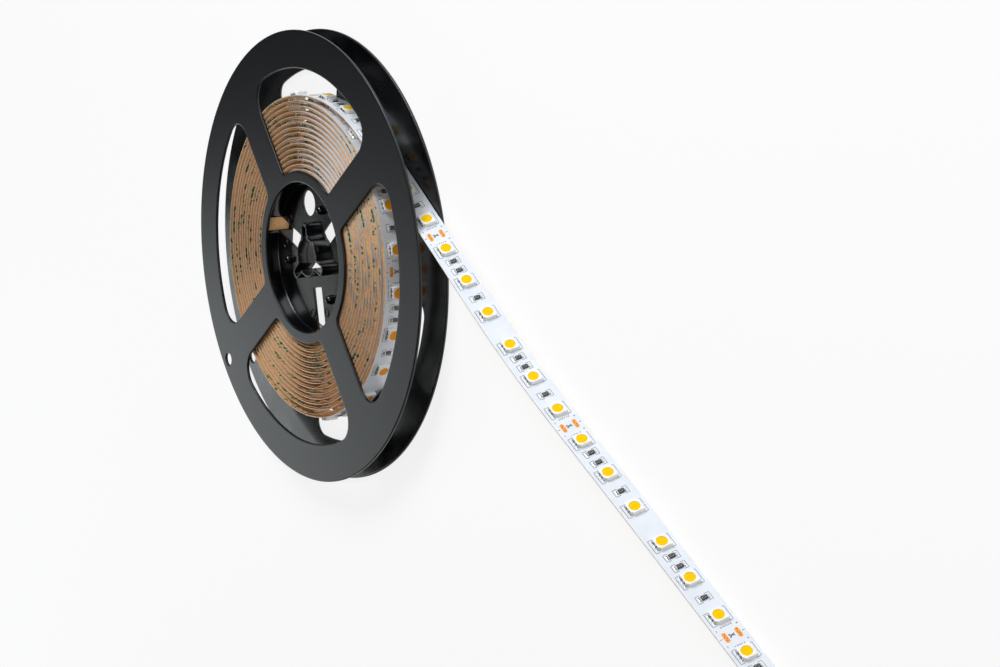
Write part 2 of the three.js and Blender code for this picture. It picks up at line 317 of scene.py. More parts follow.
def circle(radius, count, centre=(0.0, 0.0)):
    """Points on a whole circle, the first not repeated."""
    return arc(centre, radius, 0, 2 * np.pi, count + 1)[:-1]


# Outlines of the reel's mouldings, anticlockwise

def window_outline(half_angle, side_offset, rim_fillet):
    """Window with its middle on +X: two arcs about the axis and two straight sides, joined by
    fillets. A side lies side_offset from the line that leaves the axis at half_angle."""
    outer = FLANGE_RADIUS - RIM
    inner = BORE_RADIUS + HUB_RING
    rim_centre = outer - rim_fillet
    hub_centre = inner + HUB_FILLET
    rim_bearing = np.arcsin((side_offset + rim_fillet) / rim_centre) - half_angle
    hub_bearing = np.arcsin((side_offset + HUB_FILLET) / hub_centre) - half_angle
    side = -half_angle - np.pi / 2
    hub_at = (hub_centre * np.cos(hub_bearing), hub_centre * np.sin(hub_bearing))
    rim_at = (rim_centre * np.cos(rim_bearing), rim_centre * np.sin(rim_bearing))
    half = np.concatenate([
        arc((0, 0), inner, 0, hub_bearing, 12),
        arc(hub_at, HUB_FILLET, hub_bearing + np.pi, side + 2 * np.pi, 8)[1:],
        arc(rim_at, rim_fillet, side, rim_bearing, 12),
        arc((0, 0), outer, rim_bearing, 0, 20)[1:],
    ])
    other = half[1:-1][::-1] * (1, -1)
    return np.concatenate([half, other])


def front_windows():
    """One window between each two spokes."""
    outline = window_outline(np.pi / SPOKES, SPOKE_WIDTH / 2, RIM_FILLET)
    return [turn(outline, radians(SPOKE_ANGLE + 360 / SPOKES * (i + 0.5))) for i in range(SPOKES)]


def rear_windows():
    """Two pairs of windows, each beside a wide spoke. The part has a third window before each
    pair, which the photograph doesn't show."""
    outline = window_outline(radians(REAR_WINDOW_SPAN / 2), 0, REAR_RIM_FILLET)
    step = REAR_WINDOW_SPAN + REAR_SPOKE_SPAN
    return [turn(outline, radians(REAR_SPOKE_ANGLE + side + place))
            for side in REAR_WINDOW_PAIRS for place in (0, step)]


def keyed_outline(radius, half_width, reach):
    """Circle with round-ended keyways."""
    flank = np.arcsin(half_width / radius)
    parts = []
    for index in range(KEYWAYS):
        angle = radians(WEB_ANGLE) + KEY_SPACING * index
        tip = arc((reach - half_width, 0), half_width, -np.pi / 2, np.pi / 2, 11)
        parts.append(turn(tip, angle))
        parts.append(arc((0, 0), radius, angle + flank, angle + KEY_SPACING - flank, 16))
    return np.concatenate(parts)


def web_outline():
    """Web's edge, which runs in along both sides of each threading slot."""
    radius = BORE_RADIUS + DRUM_WALL / 2
    half = SLOT_WIDTH / 2
    flank = np.arcsin(half / radius)
    inner = SLOT_START + SLOT_CORNER
    parts = []
    for index in range(KEYWAYS):
        angle = radians(WEB_ANGLE + 180) + KEY_SPACING * index
        lower = arc((inner, SLOT_CORNER - half), SLOT_CORNER, -np.pi / 2, -np.pi, 5)
        upper = arc((inner, half - SLOT_CORNER), SLOT_CORNER, np.pi, np.pi / 2, 5)
        parts.append(turn(np.concatenate([lower, upper]), angle))
        parts.append(arc((0, 0), radius, angle + flank, angle + KEY_SPACING - flank, 40))
    return np.concatenate(parts)


def plate(outer, holes, bottom, top, edge, materials, support=SUPPORT):
    """Flat moulding with rounded edges. Each outline is swept along a profile that rounds from the
    top face over the edge to the bottom face, and the faces are filled between the outlines. A
    narrow flat border of the width support keeps the rounding smooth. materials are those of the
    top, the edges and the bottom."""
    quarter = np.linspace(0, np.pi / 2, 5)
    inset = edge * (1 - np.sin(quarter))
    rise = edge * (1 - np.cos(quarter))
    insets = np.concatenate([[edge + support], inset, inset[::-1], [edge + support]])
    heights = np.concatenate([[top], top - rise, (bottom + rise)[::-1], [bottom]])
    loops = [outer] + [hole[::-1] for hole in holes]
    points, faces, starts = [], [], []
    count = 0
    for loop in loops:
        along = np.roll(loop, -1, axis=0) - np.roll(loop, 1, axis=0)
        along /= np.linalg.norm(along, axis=1, keepdims=True)
        outward = np.stack([along[:, 1], -along[:, 0]], axis=-1)
        flat = loop[None] - outward[None] * insets[:, None, None]
        points.append(spread(flat[..., 0], flat[..., 1], heights[:, None]).reshape(-1, 3))
        faces.extend((grid(len(insets), len(loop), wrap=True) + count)[:, ::-1].tolist())
        starts.append(count)
        count += len(insets) * len(loop)
    points = np.concatenate(points)
    parts = [(points, faces, materials[1], True)]
    for ring, level, material in ((0, top, materials[0]), (len(insets) - 1, bottom, materials[2])):
        borders = [start + ring * len(loop) + np.arange(len(loop))
                   for start, loop in zip(starts, loops)]
        indices = np.concatenate(borders)
        filling = np.array(tessellate_polygon([points[border, :2].tolist() for border in borders]))
        a, b, c = (points[indices[filling[:, k]]][:, :2] for k in range(3))
        area = (b[:, 0] - a[:, 0]) * (c[:, 1] - a[:, 1]) - (b[:, 1] - a[:, 1]) * (c[:, 0] - a[:, 0])
        wrong = (area > 0) if level == bottom else (area < 0)
        filling[wrong] = filling[wrong][:, ::-1]
        parts.append((points[indices], filling.tolist(), material, False))
    return parts


def slot_free_arcs(radius):
    """Angles along each arc between two slots of the web, on a circle of a radius."""
    flank = np.arcsin(SLOT_WIDTH / 2 / radius)
    starts = radians(WEB_ANGLE + 180) + KEY_SPACING * np.arange(KEYWAYS)
    return [np.linspace(start + flank, start + KEY_SPACING - flank, WALL_STATIONS) for start in starts]


def drum_walls(bottom, top, material):
    """Drum wall between each two slots: a rounded rectangle carried round the axis."""
    middle = np.array([(BORE_RADIUS + DRUM_RADIUS) / 2, (bottom + top) / 2])
    half = np.array([(DRUM_RADIUS - BORE_RADIUS) / 2, (top - bottom) / 2]) - WALL_EDGE
    corner = np.linspace(0, np.pi / 2, 4)
    signs = ((1, 1), (-1, 1), (-1, -1), (1, -1))
    profile = np.concatenate([
        middle + half * sign + WALL_EDGE * np.stack([np.cos(corner + k * np.pi / 2),
                                                     np.sin(corner + k * np.pi / 2)], axis=-1)
        for k, sign in enumerate(signs)
    ])
    parts = []
    for angle in slot_free_arcs(BORE_RADIUS + DRUM_WALL / 2):
        vertices, faces = loft(swept(profile, angle))
        parts.append((vertices, flipped(faces), material, True))
    return parts


def lathe(profile, centre, material, count=24):
    """A closed solid: a profile that starts and ends near an upright axis through centre, turned
    about it."""
    angle = np.linspace(0, 2 * np.pi, count, endpoint=False)
    vertices, faces = loft(swept(profile, angle, centre).transpose(1, 0, 2))
    return vertices, faces, material, True


# Tape path

def smoothstep(value):
    """0 up to 0, 1 from 1 on, and 3 v^2 - 2 v^3 between."""
    value = np.clip(value, 0, 1)
    return value * value * (3 - 2 * value)


def tape_path():
    """Samples of the backing's inner face from the free end inwards: the distance from the free
    end, the point, the outward normal, the level of the tape's lower edge and the tape's tilt.
    The roll is a spiral whose outermost turn stands a little loose, and the tail is an arc, two
    straight runs and the slow bend between them."""
    roll_inner = DRUM_RADIUS + DRUM_GAP
    lean = radians(LEAN)
    peel_turn = radians(PEEL_ANGLE - 90) + lean
    tail = LEAN_DISTANCE * peel_turn + LEAN_RUN + STRAIGHTEN_RADIUS * lean + STRAIGHT_RUN
    wound = TAPE_LENGTH - tail
    turns = (np.sqrt(roll_inner ** 2 + PITCH * wound / np.pi) - roll_inner) / PITCH
    turns = np.round(turns * CAD_STEPS) / CAD_STEPS
    roll_outer = roll_inner + PITCH * turns

    back = np.linspace(turns, 0, int(turns * STATIONS_PER_TURN))
    angle = radians(PEEL_ANGLE) + 2 * np.pi * back
    share = 1 - back / turns
    radius = roll_outer - PITCH * back + ROLL_SHIFT * share * np.cos(angle - radians(ROLL_SHIFT_ANGLE))
    radius += LOOSE_TURN * smoothstep(back / LOOSE_RISE) * smoothstep((1 - back) / LOOSE_FALL)
    normal = np.stack([np.cos(angle), np.sin(angle)], axis=-1)
    points = [normal * radius[:, None]]
    normals = [normal]

    end_radius = radius[-1]
    peel_radius = (LEAN_DISTANCE - end_radius * np.cos(peel_turn)) / (1 - np.cos(peel_turn))
    angle = radians(PEEL_ANGLE) - peel_turn * np.linspace(0, 1, BEND_STATIONS)[1:]
    centre = normal[-1] * (end_radius - peel_radius)
    normal = np.stack([np.cos(angle), np.sin(angle)], axis=-1)
    points.append(centre + normal * peel_radius)
    normals.append(normal)
    for length, bend, count in ((LEAN_RUN, 0, BEND_STATIONS),
                                (STRAIGHTEN_RADIUS * lean, lean, BEND_STATIONS),
                                (STRAIGHT_RUN, 0, STRAIGHT_STATIONS)):
        heading = np.arctan2(normals[-1][-1][1], normals[-1][-1][0])
        turned = heading + bend * np.arange(1, count + 1) / count
        middle = turned - bend / count / 2
        step = np.stack([np.sin(middle), -np.cos(middle)], axis=-1) * length / count
        points.append(points[-1][-1] + np.cumsum(step, axis=0))
        normals.append(np.stack([np.cos(turned), np.sin(turned)], axis=-1))

    points = np.concatenate(points)[::-1]
    normals = np.concatenate(normals)[::-1]
    steps = np.linalg.norm(np.diff(points, axis=0), axis=1)
    from_end = np.concatenate([[0], np.cumsum(steps)])
    peel_length = from_end[len(points) - len(back)]
    travelled = peel_length - from_end
    run = smoothstep((travelled - DROP_START) / DROP_RUN)
    inside = 1 - smoothstep((travelled + WANDER_FADE) / (2 * WANDER_FADE))
    wander = np.sin(from_end / WAVE_LONG) + np.sin(from_end / WAVE_SHORT + 1)
    level = TAPE_BOTTOM * (1 - run) + EDGE_WANDER * inside * wander / 2 * (1 - run)
    tilt = radians(TILT) * smoothstep((travelled - TILT_START) / TILT_RUN)
    return from_end, points, normals, level, tilt, peel_length


PATH_S, PATH_POINT, PATH_NORMAL, PATH_LEVEL, PATH_TILT, WOUND_FROM = tape_path()


def on_tape(points):
    """Carries points in tape coordinates (from the free end, across, above the board) onto the
    tape. Each coordinate of the path is read off at the point's distance from the free end, and
    the section there is turned by the tilt, which lays its top edge back and its face up."""
    points = np.asarray(points, dtype=float)
    at, across, above = points[..., 0], points[..., 1], points[..., 2]
    x, y = (np.interp(at, PATH_S, PATH_POINT[:, k]) for k in range(2))
    nx, ny = (np.interp(at, PATH_S, PATH_NORMAL[:, k]) for k in range(2))
    level = np.interp(at, PATH_S, PATH_LEVEL)
    tilt = np.interp(at, PATH_S, PATH_TILT)
    cosine, sine = np.cos(tilt), np.sin(tilt)
    out = BOARD_FACE + above
    high = TAPE_WIDTH / 2 + across
    shift = out * cosine - (high - TILT_HEIGHT) * sine
    return np.stack([x + nx * shift, y + ny * shift, level + high * cosine + out * sine], axis=-1)


def white_board():
    """The board's laminate: its section carried along the whole path. The first of its four sides
    is the printed face, and the glued back, the cut edges and the ends are bare laminate."""
    half = TAPE_WIDTH / 2
    section = np.array([(half, 0), (-half, 0), (-half, -BOARD), (half, -BOARD)])
    points = spread(PATH_S[:, None], section[:, 0], section[:, 1])
    vertices, faces = loft(on_tape(points))
    obj = piece("white_board", [(vertices, faces, MASK, True)], ["flexible_board"])
    mesh = obj.data
    mesh.materials.append(LAMINATE)
    side = np.arange(len(faces))
    bare = (side % len(section) > 0) | (side >= len(faces) - 2)
    mesh.polygons.foreach_set("material_index", bare.astype(np.int32))
    tape_coordinates(mesh, points)
    mark_sharp(mesh)


def liner():
    """Kraft backing, carried along the path. On the roll its edges curl into the gap below them,
    because it is the shorter side of the bend: the curl grows as the square of the distance
    outside the glued middle, is strongest on the side at CURL_ANGLE, and creases press it flat
    here and there."""
    at = np.arange(0, PATH_S[-1], LINER_STEP)
    half = TAPE_WIDTH / 2 - BACKING_INSET
    across = np.array([-1, -0.88, -0.74, -0.6, 0.6, 0.74, 0.88, 1]) * half
    draw = np.random.default_rng(11)
    crease = np.zeros(len(at))
    places = draw.uniform(0, PATH_S[-1], CREASES)
    for place, reach in zip(places, draw.uniform(*CREASE_REACH, CREASES)):
        crease = np.maximum(crease, np.exp(-((at - place) / reach) ** 2))
    on_roll = (smoothstep((at - WOUND_FROM - CURL_FROM_PEEL) / CURL_FADE)
               * smoothstep((PATH_S[-1] - CURL_FROM_HUB - at) / CURL_FADE))
    toward = [np.interp(at, PATH_S, PATH_NORMAL[:, k]) for k in range(2)]
    facing = toward[0] * np.cos(radians(CURL_ANGLE)) + toward[1] * np.sin(radians(CURL_ANGLE))
    strength = CURL_LEAST + (1 - CURL_LEAST) * smoothstep((facing - 0.1) / 0.6)
    uneven = CURL + 0.12 * np.sin(at / 23) + 0.1 * np.sin(at / 7.1 + 2)
    depth = on_roll * strength * uneven * (1 - CREASE_DEPTH * crease)
    outside = np.maximum(np.abs(across) - CURL_START, 0) / (half - CURL_START)
    curl = depth[:, None] * outside[None] ** 2
    outer = spread(at[:, None], across, BACKING - BOARD_FACE - curl)
    inner = spread(at[:, None], across, -BOARD_FACE - curl)
    points = np.concatenate([outer[:, ::-1], inner], axis=1)
    vertices, faces = loft(on_tape(points))
    obj = piece("kraft_backing", [(vertices, faces, KRAFT, True)], ["peel_off_backing"])
    tape_coordinates(obj.data, points)
    mark_sharp(obj.data)


def tape_coordinates(mesh, points):
    """UV map of a strip: the distance along the tape and the distance across, in metres."""
    layer = mesh.uv_layers.new(name="tape")
    corners = np.empty(len(mesh.loops), dtype=np.int32)
    mesh.loops.foreach_get("vertex_index", corners)
    flat = points.reshape(-1, 3)[corners][:, :2] * MM
    layer.data.foreach_set("uv", flat.astype(np.float32).ravel())


def mark_sharp(mesh):
    """Square corners stay crisp on a smooth mesh."""
    mesh.set_sharp_from_angle(angle=radians(40))


def cut_layout(cut):
    """Distances from the free end of the chips and the resistors in one cut length. The lengths
    on the roll are soldered on behind a splice, which sets them a little further in."""
    roll_side = CUT_LENGTH * (cut + 1) + (SPLICE if cut >= FREE_CUTS else 0)
    chips = roll_side - CHIP_MARGIN - CHIP_PITCH * np.arange(CHIPS_PER_CUT)
    middle = chips[:-1] - CHIP_PITCH / 2
    half = RESISTOR_PAIR / 2
    resistors = [middle[0] + half, middle[0] - half, middle[1], middle[3] + half, middle[3] - half,
                 middle[4]]
    return chips, resistors


# Materials

def linear(colour):
    """The linear colour of an sRGB hex value."""
    value = np.array([int(colour[i:i + 2], 16) for i in (1, 3, 5)]) / 255
    value = np.where(value <= 0.04045, value / 12.92, ((value + 0.055) / 1.055) ** 2.4)
    return (*value, 1.0)


def add(tree, kind, settings=None, links=None, stops=()):
    """Adds a node, with its settings by name and its inputs linked from other nodes' outputs. A
    colour ramp also gets its stops, each a position and a hex colour or a grey value."""
    node = tree.nodes.new(kind)
    for key, value in (settings or {}).items():
        if isinstance(key, int) or key in node.inputs:
            node.inputs[key].default_value = value
        else:
            setattr(node, key, value)
    link(tree, node, links or {})
    for index, (position, colour) in enumerate(stops):
        elements = node.color_ramp.elements
        element = elements[index] if index < len(elements) else elements.new(position)
        element.position = position
        element.color = linear(colour) if isinstance(colour, str) else (colour, colour, colour, 1.0)
    return node


def link(tree, node, sources):
    """Links outputs of other nodes to a node's inputs."""
    for key, source in sources.items():
        tree.links.new(source, node.inputs[key])


def new_material(name, settings):
    """A material, its tree and its shader, with the shader's constants set."""
    material = bpy.data.materials.new(name)
    material.use_nodes = True
    tree = material.node_tree
    shader = tree.nodes["Principled BSDF"]
    for key, value in settings.items():
        shader.inputs[key].default_value = value
    return material, tree, shader


def satin_polystyrene():
    """High-impact polystyrene moulded against a fine spark-eroded tool: charcoal black, a broad dull
    sheen with a grain under half a millimetre, drawn at 0.35 mm so that it shows."""
    material, tree, shader = new_material("satin_black_polystyrene", {"IOR": 1.59})
    place = add(tree, "ShaderNodeTexCoord").outputs["Object"]
    cloud = add(tree, "ShaderNodeTexNoise", {"Scale": 1 / (28 * MM), "Detail": 2}, {"Vector": place})
    grain = add(tree, "ShaderNodeTexNoise", {"Scale": 1 / (0.35 * MM), "Detail": 2}, {"Vector": place})
    tone = add(tree, "ShaderNodeValToRGB", None, {"Fac": cloud.outputs["Fac"]},
               [(0.3, "#080c11"), (0.7, "#0d1117")])
    rough = add(tree, "ShaderNodeValToRGB", None, {"Fac": grain.outputs["Fac"]},
                [(0.3, 0.32), (0.7, 0.4)])
    relief = add(tree, "ShaderNodeBump", {"Strength": 0.5, "Distance": 0.02 * MM},
                 {"Height": grain.outputs["Fac"]})
    link(tree, shader, {"Base Color": tone.outputs["Color"], "Roughness": rough.outputs["Color"],
                        "Normal": relief.outputs["Normal"]})
    return material


def polished_polystyrene():
    """The same plastic moulded against polished steel: near black, glossy, with faint flow waves."""
    material, tree, shader = new_material("polished_black_polystyrene", {"IOR": 1.59})
    place = add(tree, "ShaderNodeTexCoord").outputs["Object"]
    cloud = add(tree, "ShaderNodeTexNoise", {"Scale": 1 / (14 * MM), "Detail": 2}, {"Vector": place})
    wave = add(tree, "ShaderNodeTexNoise", {"Scale": 1 / (9 * MM), "Detail": 1}, {"Vector": place})
    tone = add(tree, "ShaderNodeValToRGB", None, {"Fac": cloud.outputs["Fac"]},
               [(0.3, "#060709"), (0.7, "#0a0b0e")])
    rough = add(tree, "ShaderNodeValToRGB", None, {"Fac": cloud.outputs["Fac"]},
                [(0.3, 0.14), (0.7, 0.24)])
    relief = add(tree, "ShaderNodeBump", {"Strength": 0.3, "Distance": 0.05 * MM},
                 {"Height": wave.outputs["Fac"]})
    link(tree, shader, {"Base Color": tone.outputs["Color"], "Roughness": rough.outputs["Color"],
                        "Normal": relief.outputs["Normal"]})
    return material


def solder_mask():
    """White solder mask printed over a copper laminate: cool white with a soft sheen, and the
    copper below shows as faint long ridges."""
    material, tree, shader = new_material("white_solder_mask", {"IOR": 1.5, "Roughness": 0.34})
    place = add(tree, "ShaderNodeUVMap", {"uv_map": "tape"})
    axes = add(tree, "ShaderNodeSeparateXYZ", None, {"Vector": place.outputs["UV"]})
    scaled = add(tree, "ShaderNodeMath", {"operation": "MULTIPLY", 1: 2 * np.pi / (2.5 * MM)},
                 {0: axes.outputs["Y"]})
    stripes = add(tree, "ShaderNodeMath", {"operation": "SINE"}, {0: scaled.outputs["Value"]})
    body = add(tree, "ShaderNodeTexCoord").outputs["Object"]
    cloud = add(tree, "ShaderNodeTexNoise", {"Scale": 1 / (6 * MM), "Detail": 3}, {"Vector": body})
    tone = add(tree, "ShaderNodeValToRGB", None, {"Fac": cloud.outputs["Fac"]},
               [(0.3, "#e6edf7"), (0.7, "#eff4fc")])
    relief = add(tree, "ShaderNodeBump", {"Strength": 0.4, "Distance": 0.012 * MM},
                 {"Height": stripes.outputs["Value"]})
    link(tree, shader, {"Base Color": tone.outputs["Color"], "Normal": relief.outputs["Normal"]})
    return material


def kraft_paper():
    """Silicone-coated kraft release paper: tan with short fibres, matt, soft wrinkles and
    broken green marks in place of its print."""
    material, tree, shader = new_material("kraft_release_paper", {"Roughness": 0.85, "IOR": 1.45,
                                                                  "Specular IOR Level": 0.2})
    place = add(tree, "ShaderNodeUVMap", {"uv_map": "tape"}).outputs["UV"]
    stretch = add(tree, "ShaderNodeMapping", {"Scale": (1.0, 4.0, 1.0)}, {"Vector": place})
    fibre = add(tree, "ShaderNodeTexNoise", {"Scale": 1 / (1.2 * MM), "Detail": 6},
                {"Vector": stretch.outputs["Vector"]})
    tan = add(tree, "ShaderNodeValToRGB", None, {"Fac": fibre.outputs["Fac"]},
              [(0.25, "#d09a68"), (0.5, "#edb880"), (0.78, "#fdd9a8")])
    patches = add(tree, "ShaderNodeTexNoise", {"Scale": 1 / (16 * MM), "Detail": 0}, {"Vector": place})
    strokes = add(tree, "ShaderNodeTexNoise", {"Scale": 1 / (1.3 * MM), "Detail": 1}, {"Vector": place})
    groups = add(tree, "ShaderNodeValToRGB", None, {"Fac": patches.outputs["Fac"]},
                 [(0.56, 0.0), (0.6, 1.0)])
    dashes = add(tree, "ShaderNodeValToRGB", None, {"Fac": strokes.outputs["Fac"]},
                 [(0.53, 0.0), (0.56, 1.0)])
    both = add(tree, "ShaderNodeMath", {"operation": "MULTIPLY"},
               {0: groups.outputs["Color"], 1: dashes.outputs["Color"]})
    mixed = add(tree, "ShaderNodeMix", {"data_type": "RGBA", 7: linear("#12683f")},
                {0: both.outputs["Value"], 6: tan.outputs["Color"]})
    body = add(tree, "ShaderNodeTexCoord").outputs["Object"]
    wrinkle = add(tree, "ShaderNodeTexNoise", {"Scale": 1 / (3.5 * MM), "Detail": 3}, {"Vector": body})
    relief = add(tree, "ShaderNodeBump", {"Strength": 0.5, "Distance": 0.25 * MM},
                 {"Height": wrinkle.outputs["Fac"]})
    link(tree, shader, {"Base Color": mixed.outputs[2], "Normal": relief.outputs["Normal"]})
    return material


def grained(name, low, high, size, settings, depth=0.01, strength=0.3):
    """A fine-grained finish between two tones, with grain of a size in millimetres."""
    material, tree, shader = new_material(name, settings)
    place = add(tree, "ShaderNodeTexCoord").outputs["Object"]
    grain = add(tree, "ShaderNodeTexNoise", {"Scale": 1 / (size * MM), "Detail": 3}, {"Vector": place})
    tone = add(tree, "ShaderNodeValToRGB", None, {"Fac": grain.outputs["Fac"]}, [(0.3, low), (0.7, high)])
    relief = add(tree, "ShaderNodeBump", {"Strength": strength, "Distance": depth * MM},
                 {"Height": grain.outputs["Fac"]})
    link(tree, shader, {"Base Color": tone.outputs["Color"], "Normal": relief.outputs["Normal"]})
    return material


SATIN = satin_polystyrene()
POLISHED = polished_polystyrene()
MASK = solder_mask()
KRAFT = kraft_paper()
# Glass-filled nylon of the chip body: opaque warm white, moulded sharp, slightly glossy
CHIP_WHITE = grained("white_chip_nylon", "#f9faf8", "#ffffff", 0.8, {"Roughness": 0.32, "IOR": 1.53})
# Silicone with phosphor powder in the chip's well: saturated yellow, smooth and a little wet
PHOSPHOR = grained("phosphor_silicone", "#ffca00", "#ffd600", 0.5,
                   {"Roughness": 0.5, "IOR": 1.41, "Specular IOR Level": 0.08})
# The same silicone in a deeper orange, on the lengths wound on the roll, which lie in shade between the
# flanges: painted shade
PHOSPHOR_SHADED = grained("phosphor_silicone_painted_shade", "#f79d00", "#ffab08", 0.5,
                         {"Roughness": 0.4, "IOR": 1.41, "Specular IOR Level": 0.25})
# Reflowed tin solder: bright grey metal, softly rippled
SOLDER = grained("reflowed_solder", "#cfd2d0", "#eeeeea", 0.4, {"Metallic": 0.8, "Roughness": 0.35},
                 0.03, 0.6)
# Dark blocks on the chip's side between its leads: painted shade of the gaps there
LEAD_GAP_SHADE = grained("painted_lead_gap_shade", "#20241f", "#343a33", 0.3, {"Roughness": 0.6})
# Black glaze over the resistor film, with the alumina body's edge below
GLAZE = grained("black_resistor_glaze", "#23282a", "#343a3c", 0.5, {"Roughness": 0.25, "IOR": 1.5})
# Pale stamp on the glaze, a plain frame in place of a code: thin grey paint
STAMP = grained("grey_stamp_paint", "#7b8486", "#98a09f", 0.3, {"Roughness": 0.6})
# Bare copper under flux lacquer: orange gold, satin
COPPER = grained("lacquered_copper", "#ffa23a", "#ffb55c", 0.6,
                 {"Roughness": 0.45, "Metallic": 0.1, "Specular IOR Level": 0.2})
# Dimples that the probe pins leave in the pads, dark with flux: matt brown
DIMPLE = grained("brown_flux", "#8a4a17", "#a05a20", 0.3, {"Roughness": 0.6})
# Screen-printed ink: thin, matt, grey black
INK = grained("screen_ink", "#41464b", "#565c61", 0.3, {"Roughness": 0.7})
# Sheared edge of the laminate, where the glue, the polyimide and the kraft fibres pulled over it
# show: tan, matt, rough from the blade
LAMINATE = grained("sheared_laminate", "#d6b79c", "#ecd3bd", 1.4,
                   {"Roughness": 0.9, "Specular IOR Level": 0.15}, 0.05, 0.5)


# Reel pieces

def flange_parts(windows, bottom, materials):
    """Flange with its windows, hub opening and anchor hole."""
    anchor = polar(FLANGE_RADIUS - ANCHOR_INSET, SPOKE_ANGLE + 180)
    holes = windows + [circle(BORE_RADIUS, 120), circle(ANCHOR_RADIUS, 28, anchor)]
    return plate(circle(FLANGE_RADIUS, 240), holes, bottom, bottom + FLANGE, FLANGE_EDGE, materials)


def front_half():
    """Front flange, satin outside and polished inside, and its half of the drum wall."""
    bottom = REEL_WIDTH - FLANGE
    parts = flange_parts(front_windows(), bottom, (SATIN, SATIN, POLISHED))
    parts += drum_walls(WEB_TOP, bottom + FLANGE / 2, POLISHED)
    return piece("front_half", parts, ["front_reel_half"])


def rear_half():
    """Rear flange and drum wall, and all that stands on the web."""
    parts = flange_parts(rear_windows(), 0, (POLISHED, SATIN, SATIN))
    parts += drum_walls(FLANGE / 2, WEB_TOP, POLISHED)
    hole = circle(HOLE_RADIUS, 48, polar(HOLE_DISTANCE, WEB_ANGLE))
    bore = keyed_outline(ARBOR_BORE, KEYWAY_WIDTH / 2, KEYWAY_REACH)
    parts += plate(web_outline(), [hole, bore], WEB_BOTTOM, WEB_TOP, WEB_EDGE, (POLISHED,) * 3)
    arbor = keyed_outline(ARBOR_BORE + ARBOR_WALL, KEYWAY_WIDTH / 2 + ARBOR_WALL,
                          KEYWAY_REACH + ARBOR_WALL)
    parts += plate(arbor, [bore], ARBOR_RECESS, REEL_WIDTH - ARBOR_RECESS, ARBOR_EDGE, (POLISHED,) * 3,
                   SUPPORT / 2)
    parts += corner_fillets() + ejector_marks() + studs()
    return piece("rear_half", parts, ["rear_reel_half"])


def corner_fillets():
    """Hollow fillets where the drum's walls stand on the web, set a little into both."""
    buried = 0.3
    inner, outer = BORE_RADIUS - CORNER_FILLET, BORE_RADIUS + buried
    rise, foot = WEB_TOP + CORNER_FILLET, WEB_TOP - buried
    hollow = arc((inner, rise), CORNER_FILLET, -np.pi / 2, 0, 6)
    profile = np.concatenate([hollow, [(outer, rise), (outer, foot), (inner, foot)]])
    parts = []
    for angle in slot_free_arcs(BORE_RADIUS):
        vertices, faces = loft(swept(profile, angle))
        parts.append((vertices, faces, POLISHED, True))
    return parts


def ejector_marks():
    """Low rings that the mould's ejector pins leave on the web, two beside each slot."""
    profile = np.array([(1.9, -0.1), (1.8, 0.2), (1.6, 0.3), (1.4, 0.2), (1.3, -0.1)]) + (0, WEB_TOP)
    count = 28
    around = np.linspace(0, 2 * np.pi, count, endpoint=False)
    faces = (grid(count + 1, len(profile), wrap=True) % (count * len(profile))).tolist()
    parts = []
    for index in range(KEYWAYS):
        for aside in (-EJECTOR_ASIDE, EJECTOR_ASIDE):
            centre = polar(EJECTOR_DISTANCE, WEB_ANGLE + 180 + 360 / KEYWAYS * index + aside)
            points = swept(profile, around, centre).reshape(-1, 3)
            parts.append((points, flipped(faces), POLISHED, True))
    return parts


def studs():
    """Round-topped pins on the web, midway between the slots and the keyways."""
    dome = arc((0, WEB_TOP + STUD_HEIGHT - STUD_RADIUS), STUD_RADIUS, 0, np.pi / 2, 7)
    dome[-1, 0] = 0.05
    profile = np.concatenate([[[STUD_RADIUS + 0.15, WEB_TOP - 0.1]], dome])
    bearings = [WEB_ANGLE + STUD_ASIDE + 360 / KEYWAYS * index for index in range(KEYWAYS)]
    return [lathe(profile, polar(STUD_DISTANCE, bearing), POLISHED) for bearing in bearings]


# Pieces on the board, in tape coordinates about their own middle

def square_ring(half, radius, count):
    """A square with round corners, as points at even bearings: the curve |x|^n + |y|^n = 1, with
    n the larger the smaller the corners' radius is."""
    angle = np.linspace(0, 2 * np.pi, count, endpoint=False) + np.pi / count
    cosine, sine = np.cos(angle), np.sin(angle)
    power = 2 + 10 * (1 - radius / half)
    size = (np.abs(cosine) ** power + np.abs(sine) ** power) ** (-1 / power)
    return np.stack([half * size * cosine, half * size * sine], axis=-1)


def rings(outlines, heights):
    """Outlines in the plane, each lifted to its own height."""
    return np.stack([spread(*outline.T, height) for outline, height in zip(outlines, heights)])


def chip_outline(half, cut, count):
    """A square with one cut corner, as points at even bearings. Each point is as far out as the
    nearest side along its bearing."""
    angle = np.linspace(0, 2 * np.pi, count, endpoint=False)
    cosine, sine = np.cos(angle), np.sin(angle)
    to_side = half / np.maximum(np.abs(cosine), np.abs(sine))
    to_cut = (2 * half - cut) / np.maximum(sine - cosine, 0.001)
    reach = np.minimum(to_side, to_cut)
    return np.stack([reach * cosine, reach * sine], axis=-1)


def block(low, high):
    """Closed box between two corners."""
    (x0, y0, z0), (x1, y1, z1) = low, high
    outline = np.array([(x0, y0), (x1, y0), (x1, y1), (x0, y1)])
    return loft(rings([outline, outline], (z0, z1)))


